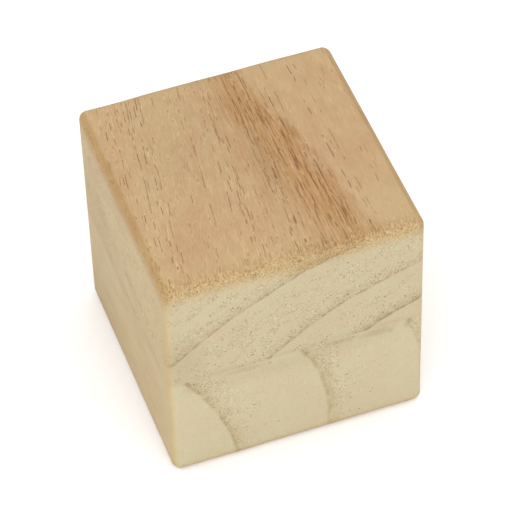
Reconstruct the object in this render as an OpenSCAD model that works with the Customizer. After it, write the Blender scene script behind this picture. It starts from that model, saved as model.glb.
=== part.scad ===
// Wooden cube glued up from two boards laid face to face.
// The grain of both boards runs along Y, so the end grain shows at -Y and +Y.
// The origin is the centre of the resting face, with +Z up. Millimetres.

/* [Block] */
// Width across the end grain, along X
block_w = 50; // [30:0.5:100]
// Length along the grain, along Y
block_l = 50; // [30:0.5:100]

/* [Boards] */
// Thickness of the board that rests on the table
lower_board_t = 25; // [12:0.1:50]
// Thickness of the board glued on top of it
upper_board_t = 25; // [12:0.1:50]

/* [Sanding] */
// Radius sanded on every outside edge and corner
edge_r = 1.8; // [0.4:0.1:5]

/* [Hidden] */
$fn = 96;

block_h = lower_board_t + upper_board_t;
lower_wood = [0.82, 0.75, 0.60];
upper_wood = [0.78, 0.65, 0.48];

// Shape centred on X and Y that starts at height z
module slab(size_x, size_y, z, height) {
    translate([-size_x / 2, -size_y / 2, z])
        cube([size_x, size_y, height]);
}

// Round bar of the edge radius along X, centred on the origin
module bar_x(length) {
    rotate([0, 90, 0])
        cylinder(r = edge_r, h = length, center = true);
}

// Round bar of the edge radius along Y, centred on the origin
module bar_y(length) {
    rotate([90, 0, 0])
        cylinder(r = edge_r, h = length, center = true);
}

// Board with its outer face down at z = 0 and its square-edged glued face up.
// The four outer edges, four upright edges and four outer corners are round.
module board(thickness) {
    inner_w = block_w - 2 * edge_r;
    inner_l = block_l - 2 * edge_r;
    union() {
        slab(inner_w, inner_l, 0, thickness);
        slab(block_w, inner_l, edge_r, thickness - edge_r);
        slab(inner_w, block_l, edge_r, thickness - edge_r);
        for (side = [-1, 1]) {
            translate([0, side * inner_l / 2, edge_r])
                bar_x(inner_w);
            translate([side * inner_w / 2, 0, edge_r])
                bar_y(inner_l);
        }
        for (side_x = [-1, 1], side_y = [-1, 1])
            translate([side_x * inner_w / 2, side_y * inner_l / 2, edge_r]) {
                cylinder(r = edge_r, h = thickness - edge_r);
                sphere(r = edge_r);
            }
    }
}

module lower_board() {
    color(lower_wood)
        board(lower_board_t);
}

module upper_board() {
    color(upper_wood)
        translate([0, 0, block_h])
            mirror([0, 0, 1])
                board(upper_board_t);
}

lower_board();
upper_board();
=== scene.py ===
"""Wooden cube of two boards glued face to face: fine sanded meshes with solid wood grain.

Sizes are in millimetres in the CAD frame, X across the end grain, Y along the grain and Z up,
until MM turns them into metres. A level is a number from 0 to 1. A pair named FADE is where a
level starts and where it is full, and any other pair of numbers is what a value comes to where
some level is 0 and where it is 1.
"""
import math

import bpy
from mathutils import Matrix, Vector, noise


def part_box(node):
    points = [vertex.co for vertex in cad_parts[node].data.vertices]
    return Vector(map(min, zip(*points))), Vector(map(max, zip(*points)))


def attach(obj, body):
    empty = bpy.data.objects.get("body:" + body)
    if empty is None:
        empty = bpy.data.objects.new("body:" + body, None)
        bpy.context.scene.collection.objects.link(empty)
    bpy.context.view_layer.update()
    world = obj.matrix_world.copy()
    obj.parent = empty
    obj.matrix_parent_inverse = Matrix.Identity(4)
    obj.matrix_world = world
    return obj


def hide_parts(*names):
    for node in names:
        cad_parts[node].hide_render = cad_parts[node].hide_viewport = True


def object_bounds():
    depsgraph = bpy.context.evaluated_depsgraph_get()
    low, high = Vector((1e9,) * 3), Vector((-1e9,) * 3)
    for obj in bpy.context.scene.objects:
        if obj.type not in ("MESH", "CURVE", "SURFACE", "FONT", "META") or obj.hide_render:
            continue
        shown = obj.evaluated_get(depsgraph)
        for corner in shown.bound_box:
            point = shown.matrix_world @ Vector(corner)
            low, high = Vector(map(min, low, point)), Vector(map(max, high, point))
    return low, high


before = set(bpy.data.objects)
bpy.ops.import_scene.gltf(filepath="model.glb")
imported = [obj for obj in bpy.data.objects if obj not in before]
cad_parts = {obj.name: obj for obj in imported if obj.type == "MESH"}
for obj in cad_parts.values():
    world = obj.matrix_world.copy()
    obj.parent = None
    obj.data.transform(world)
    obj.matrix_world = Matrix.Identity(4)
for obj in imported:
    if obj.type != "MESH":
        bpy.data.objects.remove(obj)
cad_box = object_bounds()

MM = 0.001
FRONT_Y = cad_box[0][1] / MM
BACK_Y = cad_box[1][1] / MM
GLUE_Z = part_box("upper_board")[0][2] / MM
# The face of each board that was planed long before the cube was cut
OUTER_Z = {
    "upper_board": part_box("upper_board")[1][2] / MM,
    "lower_board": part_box("lower_board")[0][2] / MM,
}

# ---------------------------------------------------------------- the wood's colours


def display(red, green, blue):
    """A colour given as it shows on a screen, 0 to 255, as the linear colour a shader takes."""
    def linear(level):
        level /= 255
        return level / 12.92 if level <= 0.04045 else ((level + 0.055) / 1.055) ** 2.4
    return (linear(red), linear(green), linear(blue), 1.0)


# Fresh wood on the end grain and on the long grain, and the golden skin of the planed faces
END_PALE = {"upper_board": display(173, 161, 129), "lower_board": display(176, 165, 133)}
END_PINK = {"upper_board": display(174, 154, 124), "lower_board": display(177, 159, 129)}
SIDE_PALE = display(175, 155, 113)
SIDE_PINK = display(170, 145, 107)
SKIN_PALE = display(176, 148, 108)
SKIN_PINK = display(171, 137, 99)
SKIN_CUT = display(170, 145, 101)
SKIN_BAND = display(161, 121, 73)

# What multiplies the colour where a feature lies: above 255 it lightens
RING_TINT = {"upper_board": display(210, 202, 182), "lower_board": display(212, 200, 168)}
STREAK_TINT = display(192, 162, 118)
VESSEL_TINT = display(172, 136, 82)
# The rim round a pore, lightened: a painted highlight of its raised edge
RIM_HIGHLIGHT_TINT = display(282, 280, 275)
GRIT_DARK = display(196, 188, 174)
GRIT_LIGHT = display(302, 307, 314)
EDGE_TINT = display(262, 260, 252)
# Darkens the sides near the outer face; at the foot of the lower board this is painted shade
DARKENING_AND_SHADE_TINT = display(238, 232, 209)
# Also the colour of the painted shade at the back of the left face
STAIN_AND_SHADE_TINT = display(200, 184, 160)

# ---------------------------------------------------------------- the wood's measures

# Cloudy patterns: the size of the blobs along X, Y and Z, and the noise's detail and roughness.
# The gathered one's blobs are sized across the rings, along Y and along the rings.
PATTERNS = {
    "grain": ((14, 45, 14), 1, 0.5),
    "tone": ((9, 22, 9), 3, 0.5),
    "blotch": ((2.2, 5, 2.2), 3, 0.6),
    "streak": ((0.55, 9, 0.55), 3, 0.5),
    "dark_streak": ((0.4, 7, 0.4), 2, 0.5),
    "fibre": ((0.3, 2.4, 0.3), 3, 0.65),
    "grit": ((0.3, 1.5, 0.3), 2, 0.7),
    "wobble": ((3.2, 14, 3.2), 3, 0.5),
    "loose": ((1.0, 8, 1.0), 3, 0.6),
    "broken": ((1.4, 4, 1.4), 2, 0.5),
    "gathered": ((1.6, 8, 5), 2, 0.6),
    "weave": ((2.2, 7, 2.2), 2, 0.5),
    "ragged": ((0.9, 2.5, 0.9), 4, 0.7),
    "stain": ((1.5, 4, 1.0), 3, 0.5),
}
# The middle of a pattern taken as a colour
MIDDLE = (0.5, 0.5, 0.5)

# The grain wanders from Y by up to half of this along X, Y and Z
GRAIN_WANDER = (1.6, 0, 1.0)
# The fibres on the left lean across as they run back, by this many millimetres each millimetre
FIBRE_LEAN = 0.14
LEAN_FADE = (8, -6)

# Each growth ring is an arc across the grain: centre x, centre z and radius at the front face, and
# how strong its line is. The wood beyond the radius grew later and starts with a porous band.
RINGS = {
    "upper_board": [(30, -29, 80, 0.8), (39, -26, 67.7, 0.85), (35, -9, 40.4, 1.6)],
    "lower_board": [(-71, -8, 59, 0.7), (-39, 3, 45.1, 0.7), (-25, 5, 50.4, 0.45)],
}
# How much a ring's radius grows for each millimetre towards the back
RING_TAPER = {"upper_board": 0.045, "lower_board": -0.03}
# How far across a ring wobbles in all
RING_WOBBLE = 0.6
# Levels beyond a ring, as points of (millimetres, level)
LINE_PROFILE = {
    "upper_board": [(-0.3, 0), (-0.05, 1), (0.12, 1), (0.4, 0.45), (0.9, 0.25), (2.5, 0)],
    "lower_board": [(-0.4, 0), (-0.05, 0.8), (0.25, 1), (0.8, 0.55), (1.6, 0.3), (3, 0)],
}
BAND_PROFILE = [(-0.2, 0), (0.2, 0.8), (0.8, 1), (1.6, 0.8), (2.5, 0.3), (4.2, 0)]
DENSE_PROFILE = [(-3.4, 0), (-1.8, 0.85), (-0.3, 0.8), (0, 0)]
POROUS_PROFILE = {
    "upper_board": [
        (-0.15, 0), (0.05, 1), (2.4, 0.9), (4, 0.3), (5.5, 0.8), (7.5, 0.8), (9.5, 0.45), (16, 0.8),
    ],
    "lower_board": [(-0.15, 0), (0.05, 1), (3.5, 0.85), (6, 0.35), (10, 0.08)],
}
# Where the year's first row of pores lies
EARLY_PROFILE = [(-0.1, 0), (0.1, 1), (1.2, 0.9), (3, 0)]
# How far across its ring the coloured band strays in all
BAND_STRAY = 2.4

# The surface's normal where end grain takes over from long grain, and where an edge is rounded
END_FADE = (0.5, 0.96)
ROUNDED_FADE = (0.99, 0.85)

# The skin's least depth, how much deeper it soaks in a porous band, and how ragged its limit is.
# On the end grain it reaches less deep, and takes on most of its cut colour.
SKIN_DEPTH = {"upper_board": 1.7, "lower_board": 0.3}
SKIN_SOAK = {"upper_board": 1.6, "lower_board": 0.0}
SKIN_RAGGED = 3.2
SKIN_LESS_ON_END = 1.2
SKIN_FADE = (2.1, -1.2)
SKIN_CUT_SHARE = 0.8

# Open pores: the patches where they gather, and how likely one is to be open in the early row and
# where dense wood has the skin
PATCH_SHIFT = {"upper_board": 0.105, "lower_board": 0.14}
PATCH_LESS_ON_END = 0.1
PATCH_FADE = (0.44, 0.56)
EARLY_CHANCE = {"upper_board": 0.7, "lower_board": 0.4}
DENSE_SKIN_CHANCE = 0.26
# Towards the foot of the cube fewer are open
FOOT_FADE = (0, 16)
FOOT_SHARE = (0.4, 1.0)

# Vessels: each lies in a cell this wide, and they weave by up to half of this along X, Y and Z
VESSEL_CELL = 0.45
VESSEL_WEAVE = (0.9, 0, 1.5)
# A vessel's radius and the fades of its tube and rim are shares of a cell. Most are small.
VESSEL_RADIUS = (0.18, 0.38)
VESSEL_SMALL_POWER = 3.0
TUBE_FADE = (0.0, -0.12)
RIM_FADE = (0.25, 0.05)
# A vessel opens and closes over about this length, each in its own row of one pattern
VESSEL_LENGTH = 2.6
VESSEL_ROWS = 90
VESSEL_OPEN_FADE = (0.4, 0.5)
VESSEL_CHANCE_FADE = (0.0, 0.05)
VESSEL_DARKNESS = (0.4, 1.0)
# How strongly a tube darkens the long grain and the end grain, and how much less the sides
TUBE_STRENGTH = (0.72, 0.9)
TUBE_LESS_ON_SIDES = 0.54

# The rough zone of the skin beside a cut end, narrower at the rear of the cube
REAR_FADE = (0, 15)
SAWN_REAR_INSET = 2.0
SAWN_INSET = 2.5
SAWN_RAGGED = 5.0
SAWN_FADE = (4.5, 0.5)

# Torn fibres: among pores on long grain and end grain, between and in the sawn zone's clumps, and
# the share kept on the other faces and on the sides
PORE_GRIT = (0.45, 1.2)
SAWN_GRIT = (0.3, 3.1)
SIDE_GRIT = (1.0, 0.4)
FAINT_GRIT = 0.12
FIBRE_SHADE = (0.375, 0.625)

# Pink patches: their cloud, how far end grain hides them outside and in the skin, and the share kept
# far from the ends and near them
BLOTCH_SHARE = 0.4
TONE_SHARE = 0.6
PINK_FADE = (0.38, 0.62)
PINK_HIDDEN = (0.45, 0.85)
PINK_END_FADE = (10, 2)
PINK_NEAR_END = (1.0, 0.4)

# The brown band on the long grain, and the dark streaks in it
BAND_END_FADE = (9, 1)
BAND_NEAR_END = (1.0, 0.65)
STREAK_FADE = (0.35, 0.6)
STREAK_SHARE = (0.4, 1.0)
DARK_STREAK_FADE = (0.51, 0.7)
DARK_STREAK_ON_SIDES = (1.0, 0.4)

# The rings' lines: broken here and there, and faint on the long grain
BROKEN_FADE = (0.3, 0.65)
BROKEN_SHARE = (0.3, 1.0)
LINE_BY_GRAIN = (0.2, 1.0)

# Darker bands on the sides near the outer face, which at the foot of the lower board are painted
# shade; soil in the sawn zone; a stain along the glue; and lighter worn edges
DARKENING_AND_SHADE_SIDE_FADE = (0.1, 0.5)
DARKENING_AND_SHADE_DEPTH = {"upper_board": 5.5, "lower_board": 2.4}
DARKENING_AND_SHADE_FULL_DEPTH = 0.4
DARKENING_AND_SHADE_LEVEL = {"upper_board": 1.0, "lower_board": 0.5}
SOIL_SAWN = 0.4
GLUE_FADE = (1.6, 0.1)
GLUE_LEVEL = 0.32
EDGE_WORN = (0.5, 0.0)

# Soft dark stains, of glue and resin along the joint and of handling, and painted shade at the back
# of the left face towards the foot: centre, half size and strength
STAINS_AND_SHADE = {
    "upper_board": [
        ((-22, -25, 30), (5, 4, 8), 0.22),
        ((-9, 7, 50), (12, 15, 4), 0.14),
        ((3, -1, 50), (3.5, 11, 4), 0.26),
        ((5, -25, 48.5), (9, 4, 2.2), 0.16),
        # Painted shade: the back of the left face, on the upper board
        ((-25, 22, 30), (3, 16, 14), 0.2),
    ],
    "lower_board": [
        ((0, -25, 22.5), (24, 4, 2.6), 0.16),
        ((-10, -25, 24.0), (5.5, 4, 1.0), 0.34),
        ((8, -25, 24.1), (5.5, 4, 1.0), 0.42),
        ((15.5, -25, 23.7), (4.5, 4, 1.3), 0.42),
        ((18, -25, 23.2), (1.0, 4, 0.9), 0.45),
        ((1.4, -25, 23.6), (1.0, 4, 1.5), 0.4),
        ((21.8, -25, 23.8), (1.0, 4, 1.5), 0.45),
        ((-21, -25, 23.4), (1.4, 4, 1.6), 0.3),
        # Painted shade: the back of the left face, darker towards the foot
        ((-25, 22, 4), (3, 22, 16), 0.28),
    ],
}
STAIN_AND_SHADE_WANDER = (2.0, 0, 0.9)
STAIN_AND_SHADE_FADE = (1.4, 0.1)

# Heights of the relief in millimetres, and the gloss
TORN_RELIEF = 0.12
FIBRE_RELIEF = 0.02
RIM_RELIEF = 0.04
TUBE_RELIEF = -0.08
ROUGHNESS = 0.5
STREAK_ROUGHNESS = 0.12
TUBE_ROUGHNESS = 0.15
WOOD_SPECULAR = 0.35

# ---------------------------------------------------------------- the wood

# A Mix node's colour sockets, by number
MIX_FIRST = 6
MIX_SECOND = 7
MIX_RESULT = 2


class Graph:
    """Writes a material's nodes as formulas: each call returns the output of what it adds."""

    def __init__(self, material):
        self.tree = material.node_tree

    def add(self, kind, inputs, output=0, **settings):
        node = self.tree.nodes.new("ShaderNode" + kind)
        for name, value in settings.items():
            setattr(node, name, value)
        for key, value in inputs.items():
            if isinstance(value, bpy.types.NodeSocket):
                self.tree.links.new(value, node.inputs[key])
            else:
                node.inputs[key].default_value = value
        return node.outputs[output]

    def math(self, operation, *values):
        return self.add("Math", dict(enumerate(values)), operation=operation)

    def times(self, first, *others):
        for other in others:
            first = self.math("MULTIPLY", first, other)
        return first

    def plus(self, first, second):
        return self.math("ADD", first, second)

    def minus(self, first, second):
        return self.math("SUBTRACT", first, second)

    def apart(self, first, second):
        return self.math("ABSOLUTE", self.minus(first, second))

    def most(self, first, *others):
        """The largest of several levels."""
        for other in others:
            first = self.math("MAXIMUM", first, other)
        return first

    def weighted(self, value, weight, rest):
        """value * weight + rest."""
        return self.math("MULTIPLY_ADD", value, weight, rest)

    def between(self, level, at_0, at_1):
        """at_0 where level is 0, at_1 where it is 1."""
        return self.weighted(level, at_1 - at_0, at_0)

    def swing(self, level, width):
        """A level made to run from -width / 2 to width / 2."""
        return self.weighted(level, width, -width / 2)

    def fade(self, value, start, end):
        """0 where value is at start, 1 where it is at end, smooth between."""
        values = {"Value": value, "From Min": start, "From Max": end}
        return self.add("MapRange", values, interpolation_type="SMOOTHSTEP")

    def curve(self, value, points):
        """A level along value, through points of (value, level)."""
        first, last = points[0][0], points[-1][0]
        along = self.add("MapRange", {"Value": value, "From Min": first, "From Max": last})
        ramp = self.add("ValToRGB", {"Fac": along}).node
        while len(ramp.color_ramp.elements) < len(points):
            ramp.color_ramp.elements.new(0.5)
        for element, (at, level) in zip(ramp.color_ramp.elements, points):
            element.position = (at - first) / (last - first)
            element.color = (level, level, level, 1)
        return ramp.outputs["Color"]

    def vector(self, operation, *values):
        output = "Value" if operation in ("DISTANCE", "LENGTH") else "Vector"
        return self.add("VectorMath", dict(enumerate(values)), output, operation=operation)

    def scale(self, value, factor):
        return self.add("VectorMath", {0: value, "Scale": factor}, operation="SCALE")

    def parts(self, value):
        """The X, Y and Z of a vector, by name."""
        return self.add("SeparateXYZ", {"Vector": value}).node.outputs

    def join(self, x=0.0, y=0.0, z=0.0):
        return self.add("CombineXYZ", {"X": x, "Y": y, "Z": z})

    def pattern(self, name, place, output="Fac"):
        """The level of one of the PATTERNS at a place."""
        size, detail, roughness = PATTERNS[name]
        scaled = self.vector("DIVIDE", place, size)
        values = {"Vector": scaled, "Scale": 1.0, "Detail": detail, "Roughness": roughness}
        return self.add("TexNoise", values, output)

    def wandering(self, place, name, reach):
        """A place moved about by a pattern, by up to half of reach each way."""
        drift = self.vector("SUBTRACT", self.pattern(name, place, "Color"), MIDDLE)
        return self.vector("MULTIPLY_ADD", drift, reach, place)

    def mix(self, amount, first, second, blend="MIX"):
        values = {"Factor": amount, MIX_FIRST: first, MIX_SECOND: second}
        return self.add("Mix", values, MIX_RESULT, data_type="RGBA", blend_type=blend)

    def tint(self, amount, colour, tint):
        """A colour multiplied by a tint, by some amount."""
        return self.mix(amount, colour, tint, "MULTIPLY")


class Wood(Graph):
    """Solid wood for one board, the same pattern running through every face.

    Each method that starts with find sets features for the later ones: distances in millimetres,
    levels and colours.
    """

    def __init__(self, board):
        self.material = bpy.data.materials.new(board + "_wood")
        self.material.use_nodes = True
        super().__init__(self.material)
        self.board = board
        self.find_place()
        self.find_facing()
        self.find_patterns()
        self.find_rings()
        self.find_skin()
        self.find_sawn_zone()
        self.find_pores()
        self.find_torn_fibres()
        self.find_pink()
        self.find_long_band()

    def find_place(self):
        """Where a point lies, straight along the axes and as the grain runs."""
        coordinates = self.add("TexCoord", {}).node.outputs
        self.straight = self.scale(coordinates["Object"], 1 / MM)
        along = self.parts(self.straight)["Y"]
        self.height = self.parts(self.straight)["Z"]
        self.rear = self.fade(along, *REAR_FADE)
        self.from_end = self.minus(BACK_Y, self.math("ABSOLUTE", along))
        self.from_glue = self.apart(self.height, GLUE_Z)
        self.depth = self.apart(self.height, OUTER_Z[self.board])
        self.place = self.wandering(self.straight, "grain", GRAIN_WANDER)
        self.flow = self.leaning(self.place)

    def leaning(self, place):
        """The place a fibre comes from: its x where it meets the front face."""
        parts = self.parts(place)
        lean = self.times(self.fade(parts["X"], *LEAN_FADE), FIBRE_LEAN)
        run = self.times(lean, self.minus(parts["Y"], FRONT_Y))
        return self.join(self.minus(parts["X"], run), parts["Y"], parts["Z"])

    def find_facing(self):
        """How far the surface faces sideways, up or down and along the grain, or is rounded."""
        coordinates = self.add("TexCoord", {}).node.outputs
        normal = self.parts(self.vector("ABSOLUTE", coordinates["Normal"]))
        self.side = normal["X"]
        self.upward = normal["Z"]
        self.end = self.fade(normal["Y"], *END_FADE)
        self.long_grain = self.minus(1.0, self.end)
        self.rounded = self.fade(self.most(normal["X"], normal["Y"], normal["Z"]), *ROUNDED_FADE)

    def find_patterns(self):
        """The clouds, streaks and fibres in the wood, and how ragged its skin is."""
        self.tone = self.pattern("tone", self.flow)
        self.blotch = self.pattern("blotch", self.flow)
        self.streak = self.pattern("streak", self.flow)
        self.fibre = self.pattern("fibre", self.flow)
        self.ragged = self.pattern("ragged", self.straight)

    def beyond_rings(self):
        """Millimetres beyond each growth ring, negative inside it."""
        parts = self.parts(self.place)
        across = self.join(x=parts["X"], z=parts["Z"])
        drift = self.times(self.minus(parts["Y"], FRONT_Y), RING_TAPER[self.board])
        shift = self.plus(drift, self.swing(self.pattern("wobble", self.place), RING_WOBBLE))
        beyond = []
        for x, z, radius, _ in RINGS[self.board]:
            reach = self.vector("DISTANCE", across, (x, 0, z))
            beyond.append(self.minus(self.minus(reach, radius), shift))
        return beyond

    def find_rings(self):
        """A fine dark line, then a band of porous wood, and dense wood before the next line."""
        beyond = self.beyond_rings()

        def highest(profile):
            return self.most(*[self.curve(distance, profile) for distance in beyond])

        lines = []
        for distance, ring in zip(beyond, RINGS[self.board]):
            lines.append(self.times(self.curve(distance, LINE_PROFILE[self.board]), ring[-1]))
        self.line = self.most(*lines)
        stray = self.swing(self.pattern("loose", self.flow), BAND_STRAY)
        strayed = [self.plus(distance, stray) for distance in beyond]
        self.band = self.most(*[self.curve(distance, BAND_PROFILE) for distance in strayed])
        self.porous = highest(POROUS_PROFILE[self.board])
        self.dense = highest(DENSE_PROFILE)
        self.early = highest(EARLY_PROFILE)

    def find_skin(self):
        """The golden skin under the planed face, with a ragged limit."""
        soaked = self.plus(self.times(self.band, SKIN_SOAK[self.board]), SKIN_DEPTH[self.board])
        reach = self.weighted(self.ragged, SKIN_RAGGED, soaked)
        reach = self.weighted(self.end, -SKIN_LESS_ON_END, reach)
        self.skin = self.fade(self.minus(self.depth, reach), *SKIN_FADE)

    def find_sawn_zone(self):
        """The rough zone of the skin beside the cut ends."""
        inward = self.plus(self.from_end, SAWN_INSET)
        inward = self.weighted(self.rear, SAWN_REAR_INSET, inward)
        inward = self.weighted(self.ragged, -SAWN_RAGGED, inward)
        self.sawn = self.times(self.fade(inward, *SAWN_FADE), self.skin)

    def gathered(self):
        """A pattern whose blobs are drawn out along the growth rings and along the grain."""
        x, z, radius, _ = RINGS[self.board][1]
        parts = self.parts(self.vector("SUBTRACT", self.flow, (x, 0, z)))
        reach = self.vector("LENGTH", self.join(x=parts["X"], z=parts["Z"]))
        turn = self.times(self.math("ARCTAN2", parts["Z"], parts["X"]), radius)
        return self.pattern("gathered", self.join(reach, parts["Y"], turn))

    def find_pores(self):
        """How likely a pore is to be open, and the pores themselves."""
        patch = self.plus(self.gathered(), PATCH_SHIFT[self.board])
        patch = self.fade(self.weighted(self.end, -PATCH_LESS_ON_END, patch), *PATCH_FADE)
        gathering = self.times(self.porous, self.minus(1.0, self.dense), patch)
        early = self.times(self.early, EARLY_CHANCE[self.board])
        scattered = self.times(self.dense, self.skin, DENSE_SKIN_CHANCE)
        foot = self.between(self.fade(self.height, *FOOT_FADE), *FOOT_SHARE)
        self.chance = self.times(self.most(gathering, early, scattered), foot)
        self.tube, self.rim = self.vessels()

    def vessels(self):
        """Tubes along the grain, and the torn rim around each, whose colour is lightened as a painted
        highlight.

        They are dots on the end grain, and short lines where they dip into a long face.
        """
        woven = self.parts(self.wandering(self.flow, "weave", VESSEL_WEAVE))
        across = self.scale(self.join(woven["X"], woven["Z"]), 1 / VESSEL_CELL)
        values = {"Vector": across, "Scale": 1.0}
        cells = self.add("TexVoronoi", values, voronoi_dimensions="2D").node
        random = self.add("SeparateColor", {"Color": cells.outputs["Color"]}).node.outputs
        size = self.math("POWER", random["Green"], VESSEL_SMALL_POWER)
        beyond = self.minus(cells.outputs["Distance"], self.between(size, *VESSEL_RADIUS))
        present = self.fade(self.minus(self.chance, random["Red"]), *VESSEL_CHANCE_FADE)
        row = self.times(random["Green"], VESSEL_ROWS)
        along = self.join(row, self.math("DIVIDE", woven["Y"], VESSEL_LENGTH))
        opening = self.add("TexNoise", {"Vector": along, "Scale": 1.0, "Detail": 0.0})
        darkness = self.between(random["Blue"], *VESSEL_DARKNESS)
        shown = self.times(present, self.fade(opening, *VESSEL_OPEN_FADE), darkness)
        tube = self.times(self.fade(beyond, *TUBE_FADE), shown)
        rim = self.times(self.fade(beyond, *RIM_FADE), shown)
        return tube, self.minus(rim, tube)

    def find_torn_fibres(self):
        """Grit among the pores and in the sawn zone, and a faint one everywhere."""
        among_pores = self.times(self.chance, self.between(self.end, *PORE_GRIT))
        on_sawn_zone = self.times(self.sawn, self.between(self.blotch, *SAWN_GRIT))
        rough = self.plus(self.most(among_pores, on_sawn_zone), FAINT_GRIT)
        rough = self.times(rough, self.between(self.side, *SIDE_GRIT))
        self.torn = self.times(self.swing(self.pattern("grit", self.flow), 1.0), rough)

    def find_pink(self):
        """Where the wood is pinker, less so on the end grain and near the ends."""
        cloud = self.weighted(self.blotch, BLOTCH_SHARE, self.times(self.tone, TONE_SHARE))
        hidden = self.times(self.end, self.between(self.skin, *PINK_HIDDEN))
        near_end = self.times(self.fade(self.from_end, *PINK_END_FADE), self.long_grain)
        kept = self.between(near_end, *PINK_NEAR_END)
        self.pink = self.times(self.fade(cloud, *PINK_FADE), self.minus(1.0, hidden), kept)

    def find_long_band(self):
        """The coloured band of a ring where it runs along the long grain, weaker near the ends."""
        near_end = self.fade(self.from_end, *BAND_END_FADE)
        kept = self.times(self.long_grain, self.between(near_end, *BAND_NEAR_END))
        self.long_band = self.times(self.band, kept)

    def plain_colour(self):
        """The wood's colour before its fine features."""
        fresh_end = self.mix(self.pink, END_PALE[self.board], END_PINK[self.board])
        fresh_side = self.mix(self.pink, SIDE_PALE, SIDE_PINK)
        fresh = self.mix(self.end, fresh_side, fresh_end)
        streaks = self.between(self.fade(self.streak, *STREAK_FADE), *STREAK_SHARE)
        skin = self.mix(self.pink, SKIN_PALE, SKIN_PINK)
        skin = self.mix(self.times(self.long_band, streaks), skin, SKIN_BAND)
        skin = self.mix(self.times(self.end, SKIN_CUT_SHARE), skin, SKIN_CUT)
        return self.mix(self.skin, fresh, skin)

    def grained(self, colour):
        """A colour with the wood's dark streaks, ring lines, torn fibres and pores."""
        dark = self.fade(self.pattern("dark_streak", self.flow), *DARK_STREAK_FADE)
        dark = self.times(self.long_band, dark, self.between(self.side, *DARK_STREAK_ON_SIDES))
        colour = self.tint(dark, colour, STREAK_TINT)
        broken = self.fade(self.pattern("broken", self.straight), *BROKEN_FADE)
        line = self.times(self.line, self.between(broken, *BROKEN_SHARE))
        line = self.times(line, self.between(self.end, *LINE_BY_GRAIN))
        colour = self.tint(line, colour, RING_TINT[self.board])
        shade = self.plus(self.torn, self.between(self.fibre, *FIBRE_SHADE))
        colour = self.tint(1.0, colour, self.mix(shade, GRIT_DARK, GRIT_LIGHT))
        # Painted highlight: the rim round each pore is lightened
        colour = self.tint(self.rim, colour, RIM_HIGHLIGHT_TINT)
        strength = self.between(self.end, *TUBE_STRENGTH)
        strength = self.weighted(self.side, -TUBE_LESS_ON_SIDES, strength)
        return self.tint(self.times(self.tube, strength), colour, VESSEL_TINT)

    def used(self, colour):
        """A colour as worn on the edges, darker on the sides near the outer face (painted shade at
        the foot of the lower board), soiled in the sawn zone, stained along the glue, and with
        painted shade at the back of the left face.
        """
        worn = self.times(self.rounded, self.between(self.skin, *EDGE_WORN))
        colour = self.tint(worn, colour, EDGE_TINT)
        # The sides darken near the outer face: painted shade at the foot of the lower board, a plain
        # darker band near the top of the upper board
        upper = self.board == "upper_board"
        sideways = self.side if upper else self.minus(1.0, self.upward)
        near_outer = self.fade(self.depth, DARKENING_AND_SHADE_DEPTH[self.board], DARKENING_AND_SHADE_FULL_DEPTH)
        darkened_and_shaded = self.times(self.fade(sideways, *DARKENING_AND_SHADE_SIDE_FADE), near_outer, DARKENING_AND_SHADE_LEVEL[self.board])
        darkened_and_shaded = self.most(darkened_and_shaded, self.times(self.sawn, self.long_grain, SOIL_SAWN))
        colour = self.tint(darkened_and_shaded, colour, DARKENING_AND_SHADE_TINT)
        glue = self.times(self.fade(self.from_glue, *GLUE_FADE), self.times(self.tone, GLUE_LEVEL))
        # Glue, stains and the painted shade at the back of the left face darken the colour
        return self.tint(self.most(glue, self.stains_and_shade()), colour, STAIN_AND_SHADE_TINT)

    def stains_and_shade(self):
        """How dark the stains and the painted shade at the back of the left face are."""
        moved = self.wandering(self.straight, "stain", STAIN_AND_SHADE_WANDER)
        levels = []
        for centre, half_size, strength in STAINS_AND_SHADE[self.board]:
            offset = self.vector("SUBTRACT", moved, centre)
            reach = self.vector("LENGTH", self.vector("DIVIDE", offset, half_size))
            levels.append(self.times(self.fade(reach, *STAIN_AND_SHADE_FADE), strength))
        return self.most(*levels)

    def relief(self):
        """The height of the fine relief, in millimetres."""
        pits = self.weighted(self.rim, RIM_RELIEF, self.times(self.tube, TUBE_RELIEF))
        fine = self.weighted(self.fibre, FIBRE_RELIEF, pits)
        return self.weighted(self.torn, TORN_RELIEF, fine)

    def roughness(self):
        streaked = self.weighted(self.streak, STREAK_ROUGHNESS, ROUGHNESS)
        return self.weighted(self.tube, TUBE_ROUGHNESS, streaked)


def shader(material):
    return next(n for n in material.node_tree.nodes if n.type == "BSDF_PRINCIPLED")


def wood(board):
    """The finished material of one board."""
    g = Wood(board)
    colour = g.used(g.grained(g.plain_colour()))
    bump = g.add("Bump", {"Strength": 1.0, "Distance": MM, "Height": g.relief()})
    surface = shader(g.material)
    surface.inputs["Specular IOR Level"].default_value = WOOD_SPECULAR
    g.tree.links.new(colour, surface.inputs["Base Color"])
    g.tree.links.new(g.roughness(), surface.inputs["Roughness"])
    g.tree.links.new(bump, surface.inputs["Normal"])
    return g.material


# ---------------------------------------------------------------- the boards

# The radius is that of the part's edges. A rounded edge turns in twice this many steps.
EDGE_R = 1.8
EDGE_STEPS = 7
FLAT_STEP = 0.45
# How unevenly the edges were rounded and the faces sanded, and how long those waves are
EDGE_WEAR = 0.4
EDGE_WEAR_LENGTH = 9
SANDING_WAVE = 0.05
SANDING_WAVE_LENGTH = 13
# Keeps the faces' waves apart from the edges'
SANDING_SHIFT = Vector((7, 3, 5))
# Two heights this close, in metres, are the same
SAME = 1e-7


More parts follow.
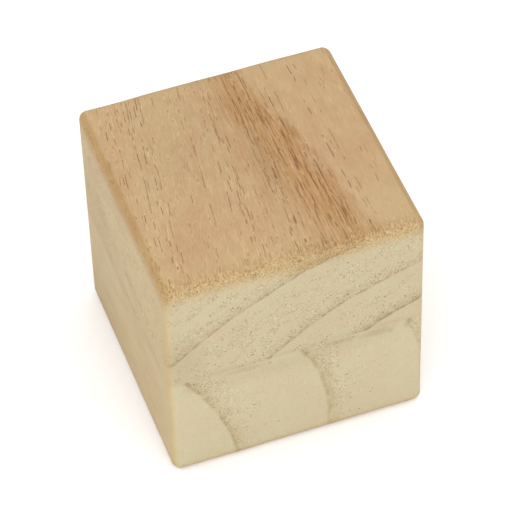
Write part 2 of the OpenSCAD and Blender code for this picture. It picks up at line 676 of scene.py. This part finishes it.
def spaced(low, high, round_low, round_high):
    """Lattice places from low to high, even on the flat and turning evenly round each rounded end."""
    turns = [EDGE_R * math.tan(math.pi / 4 * k / EDGE_STEPS) for k in range(1, EDGE_STEPS + 1)]
    start = low + EDGE_R if round_low else low
    stop = high - EDGE_R if round_high else high
    count = max(1, round((stop - start) / FLAT_STEP))
    flat = [start + (stop - start) * k / count for k in range(count + 1)]
    before = [start - turn for turn in reversed(turns)] if round_low else []
    after = [stop + turn for turn in turns] if round_high else []
    return before + flat + after


def sanded(lattice, low, high, glued_z):
    """Where a lattice place comes to lie on the worn, rounded board."""
    inner = Vector([
        min(max(value, a + EDGE_R), b - EDGE_R) for value, a, b in zip(lattice, low, high)
    ])
    if abs(lattice.z - glued_z) < abs(inner.z - glued_z):
        inner.z = lattice.z
    offset = lattice - inner
    reach = max(abs(value) for value in offset)
    if reach == 0:
        return lattice
    normal = offset.normalized()
    turned = 1 - max(abs(value) for value in normal)
    wear = EDGE_WEAR * turned * noise.noise(lattice / EDGE_WEAR_LENGTH)
    wave = noise.noise(lattice / SANDING_WAVE_LENGTH + SANDING_SHIFT)
    wave = SANDING_WAVE * (1 + wave) / 2
    return inner + normal * (reach - (wear + wave) * reach / EDGE_R)


def lattice_quads(axes):
    """The quads on a lattice's six sides, each corner given by its three numbers in the lattice."""
    ends = [len(axis) - 1 for axis in axes]
    quads = []
    for a in range(3):
        b, c = (a + 1) % 3, (a + 2) % 3
        for side in (0, ends[a]):
            for i in range(ends[b]):
                for j in range(ends[c]):
                    corners = [(i, j), (i + 1, j), (i + 1, j + 1), (i, j + 1)]
                    if side == 0:
                        corners.reverse()
                    quad = []
                    for at_b, at_c in corners:
                        index = [0, 0, 0]
                        index[a], index[b], index[c] = side, at_b, at_c
                        quad.append(tuple(index))
                    quads.append(quad)
    return quads


def board_mesh(board, low, high):
    """A closed fine mesh of one board, sanded on every outer edge and square where it is glued."""
    glued_low = board == "upper_board"
    glued_z = low.z if glued_low else high.z
    axes = [
        spaced(low.x, high.x, True, True),
        spaced(low.y, high.y, True, True),
        spaced(low.z, high.z, not glued_low, glued_low),
    ]
    numbers, places, quads = {}, [], []
    for quad in lattice_quads(axes):
        for index in quad:
            if index not in numbers:
                numbers[index] = len(places)
                lattice = Vector([axis[k] for axis, k in zip(axes, index)])
                places.append(sanded(lattice, low, high, glued_z) * MM)
        quads.append([numbers[index] for index in quad])
    mesh = bpy.data.meshes.new(board + "_sanded")
    mesh.from_pydata(places, [], quads)
    mesh.polygons.foreach_set("use_smooth", [True] * len(quads))
    sharpen_glued_edges(mesh, glued_z * MM, (high.x - EDGE_R) * MM)
    return mesh


def sharpen_glued_edges(mesh, glued_z, flat_half):
    """Keeps the square edge round the glued face sharp. Here the lengths are in metres."""
    for edge in mesh.edges:
        ends = [mesh.vertices[v].co for v in edge.vertices]
        on_glue = all(abs(co.z - glued_z) < SAME for co in ends)
        outside = all(max(abs(co.x), abs(co.y)) > flat_half for co in ends)
        edge.use_edge_sharp = on_glue and outside


def board_piece(board):
    """A board's sanded mesh, in the place of the part's own board."""
    low, high = (Vector(corner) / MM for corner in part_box(board))
    mesh = board_mesh(board, low, high)
    mesh.materials.append(wood(board))
    piece = bpy.data.objects.new(board + "_sanded", mesh)
    bpy.context.scene.collection.objects.link(piece)
    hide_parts(board)
    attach(piece, "root")
    return piece


# ---------------------------------------------------------------- the studio

AIM = Vector((0.8, -0.2, 25.0)) * MM
CAMERA_AZIMUTH = -18.5
CAMERA_ELEVATION = 47.7
CAMERA_ROLL = -2.0
CAMERA_DISTANCE = 592.8 * MM
CAMERA_LENS = 221.4
CAMERA_SENSOR = 36
CAMERA_CLIP_START = 0.01

# The softbox: its place round AIM in degrees and metres, its side in metres and its watts
KEY_AZIMUTH = -15
KEY_ELEVATION = 40
KEY_DISTANCE = 0.5
KEY_SIDE = 0.5
KEY_POWER = 1.1

SKY_COLOUR = (1.0, 1.0, 1.0, 1)
SKY_STRENGTH = 1.15

FLOOR_SIDE = 6.0
FLOOR_COLOUR = (0.96, 0.96, 0.96, 1)
FLOOR_ROUGHNESS = 0.9
FLOOR_SPECULAR = 0.1


def towards(azimuth, elevation):
    """The direction from the object to a viewer at these angles, in degrees."""
    a, e = math.radians(azimuth), math.radians(elevation)
    return Vector((math.sin(a) * math.cos(e), -math.cos(a) * math.cos(e), math.sin(e)))


def aimed(back, distance, roll=0.0):
    """A frame that looks along -back at AIM from a distance, turned by roll degrees."""
    level = Vector((0, 0, 1)).cross(back).normalized()
    upright = back.cross(level)
    turn = math.radians(roll)
    right = level * math.cos(turn) + upright * math.sin(turn)
    up = upright * math.cos(turn) - level * math.sin(turn)
    return Matrix.Translation(AIM + back * distance) @ Matrix((right, up, back)).transposed().to_4x4()


def camera():
    data = bpy.data.cameras.new("camera")
    data.sensor_width = CAMERA_SENSOR
    data.lens = CAMERA_LENS
    data.clip_start = CAMERA_CLIP_START
    item = bpy.data.objects.new("camera", data)
    back = towards(CAMERA_AZIMUTH, CAMERA_ELEVATION)
    item.matrix_world = aimed(back, CAMERA_DISTANCE, CAMERA_ROLL)
    bpy.context.scene.collection.objects.link(item)
    bpy.context.scene.camera = item


def key_light():
    data = bpy.data.lights.new("key", "AREA")
    data.shape = "SQUARE"
    data.size = KEY_SIDE
    data.energy = KEY_POWER
    item = bpy.data.objects.new("key", data)
    item.matrix_world = aimed(towards(KEY_AZIMUTH, KEY_ELEVATION), KEY_DISTANCE)
    bpy.context.scene.collection.objects.link(item)


def floor():
    material = bpy.data.materials.new("floor_paper")
    material.use_nodes = True
    surface = shader(material)
    surface.inputs["Base Color"].default_value = FLOOR_COLOUR
    surface.inputs["Roughness"].default_value = FLOOR_ROUGHNESS
    surface.inputs["Specular IOR Level"].default_value = FLOOR_SPECULAR
    half = FLOOR_SIDE / 2
    corners = [(-half, -half, 0), (half, -half, 0), (half, half, 0), (-half, half, 0)]
    mesh = bpy.data.meshes.new("floor")
    mesh.from_pydata(corners, [], [(0, 1, 2, 3)])
    mesh.materials.append(material)
    item = bpy.data.objects.new("floor", mesh)
    bpy.context.scene.collection.objects.link(item)


def sky():
    world = bpy.data.worlds.new("studio")
    world.use_nodes = True
    background = next(n for n in world.node_tree.nodes if n.type == "BACKGROUND")
    background.inputs["Color"].default_value = SKY_COLOUR
    background.inputs["Strength"].default_value = SKY_STRENGTH
    bpy.context.scene.world = world


bpy.context.scene.view_settings.view_transform = "Standard"
camera()
board_piece("lower_board")
board_piece("upper_board")
sky()
key_light()
floor()
